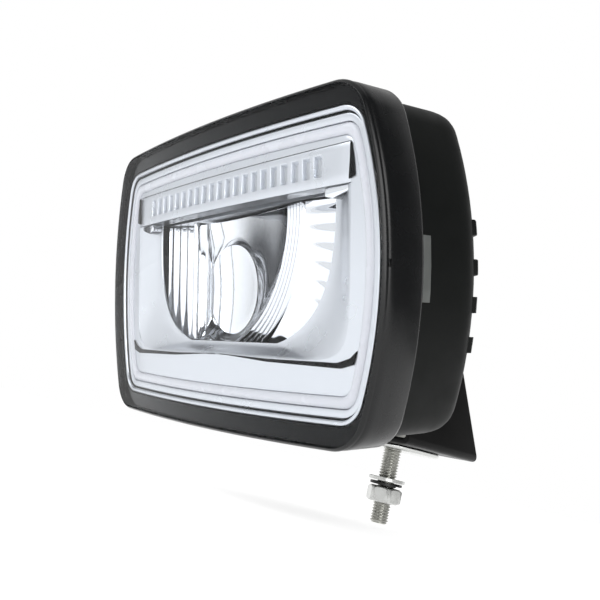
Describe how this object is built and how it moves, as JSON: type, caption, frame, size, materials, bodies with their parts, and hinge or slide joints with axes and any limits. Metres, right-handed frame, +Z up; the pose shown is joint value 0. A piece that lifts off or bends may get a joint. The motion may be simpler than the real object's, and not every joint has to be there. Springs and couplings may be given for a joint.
{
  "type": "fog light",
  "caption": "Rectangular LED fog lamp with clear bowed lens, silver trim, louvre strip and chrome reflectors in a black housing, tilting on a swivelling steel bracket with an M10 stud.",
  "frame": {"origin": "on the stud's axis, at the underside of the seat plate that stands on the vehicle's panel", "axes": "+Z up along the stud away from its free end, +X across the lamp's width, front of the lamp towards -Y; the head is tilted 15 degrees face down at rest"},
  "size_m": [0.227, 0.1835, 0.1754],
  "materials": {
    "clear_polycarbonate": "clear, hard-coated, high gloss",
    "black_sealant": "glossy black adhesive border seen through the lens",
    "black_moulding": "moulded black, fine grain, satin",
    "black_rubber": "matt black rubber",
    "black_coated_aluminium": "cast aluminium with fine-textured black powder coat",
    "satin_steel": "satin spring steel strip",
    "zinc_steel": "bright zinc plated steel",
    "silver_metallised": "vacuum-metallised satin silver",
    "frosted_acrylic": "frosted acrylic light guide",
    "reflector_chrome": "mirror-bright vacuum-metallised reflector",
    "white_board": "white solder mask on an aluminium-core board",
    "led_phosphor": "yellow phosphor on a white package",
    "bare_aluminium": "bare extruded aluminium",
    "green_board": "green solder mask",
    "black_components": "black moulded components",
    "black_nylon": "moulded black nylon",
    "brass_insert": "plain turned brass",
    "black_coated_steel": "steel strap with smooth black e-coat",
    "threaded_steel": "zinc plated thread",
    "dark_spring_steel": "dark oiled spring steel"
  },
  "bodies": {
    "stud": {"mounting_stud": "threaded_steel", "seat_plate": "zinc_steel"},
    "bracket": {"mounting_bracket": "black_coated_steel"},
    "head": {"lens": "clear_polycarbonate", "lens_border_seal": "black_sealant", "front_frame": "black_moulding", "housing_seal": "black_rubber", "rear_housing": "black_coated_aluminium", "driver_cover": "black_coated_aluminium", "pivot_block": "black_coated_aluminium", "side_clips": "satin_steel", "housing_screws": "zinc_steel", "trim_frame": "silver_metallised", "trim_panel": "silver_metallised", "center_trim": "silver_metallised", "louvre_strip": "silver_metallised", "light_guide": "frosted_acrylic", "reflector_center": "reflector_chrome", "reflector_left": "reflector_chrome", "reflector_right": "reflector_chrome", "reflector_dividers": "reflector_chrome", "led_shelf": "silver_metallised", "main_led_board": "white_board", "main_leds": "led_phosphor", "heat_sink": "bare_aluminium", "position_board": "green_board", "position_leds": "led_phosphor", "driver_board": "green_board", "driver_components": "black_components", "cable_gland_body": "black_nylon", "cable_gland_nut": "black_nylon", "cable_gland_grommet": "black_rubber", "breather_vent": "black_nylon", "pivot_inserts": "brass_insert", "pivot_spacers": "black_nylon", "pivot_washers": "zinc_steel", "pivot_bolts": "zinc_steel"},
    "washers": {"flat_washer": "zinc_steel", "spring_washer": "dark_spring_steel"},
    "nut": {"hex_nut": "zinc_steel"}
  },
  "joints": [
    {"name": "bracket_swivel", "type": "hinge", "parent": "stud", "child": "bracket", "pos_m": [0, 0, 0], "axis": [0, 0, 1], "continuous": true},
    {"name": "head_tilt", "type": "hinge", "parent": "bracket", "child": "head", "pos_m": [0, -0.015, 0.036], "axis": [1, 0, 0], "range_deg": [-35, 10]},
    {"name": "washer_slide", "type": "slide", "parent": "stud", "child": "washers", "axis": [0, 0, -1], "range_m": [-0.015, 0.01]},
    {"name": "nut_spin", "type": "hinge", "parent": "washers", "child": "nut", "pos_m": [0, 0, -0.0247], "axis": [0, 0, -1], "range_deg": [-3610, 2410]}
  ],
  "couplings": [
    {"joint": "nut_spin", "follows": "washer_slide", "rad_per_m": 4188.8}
  ]
}
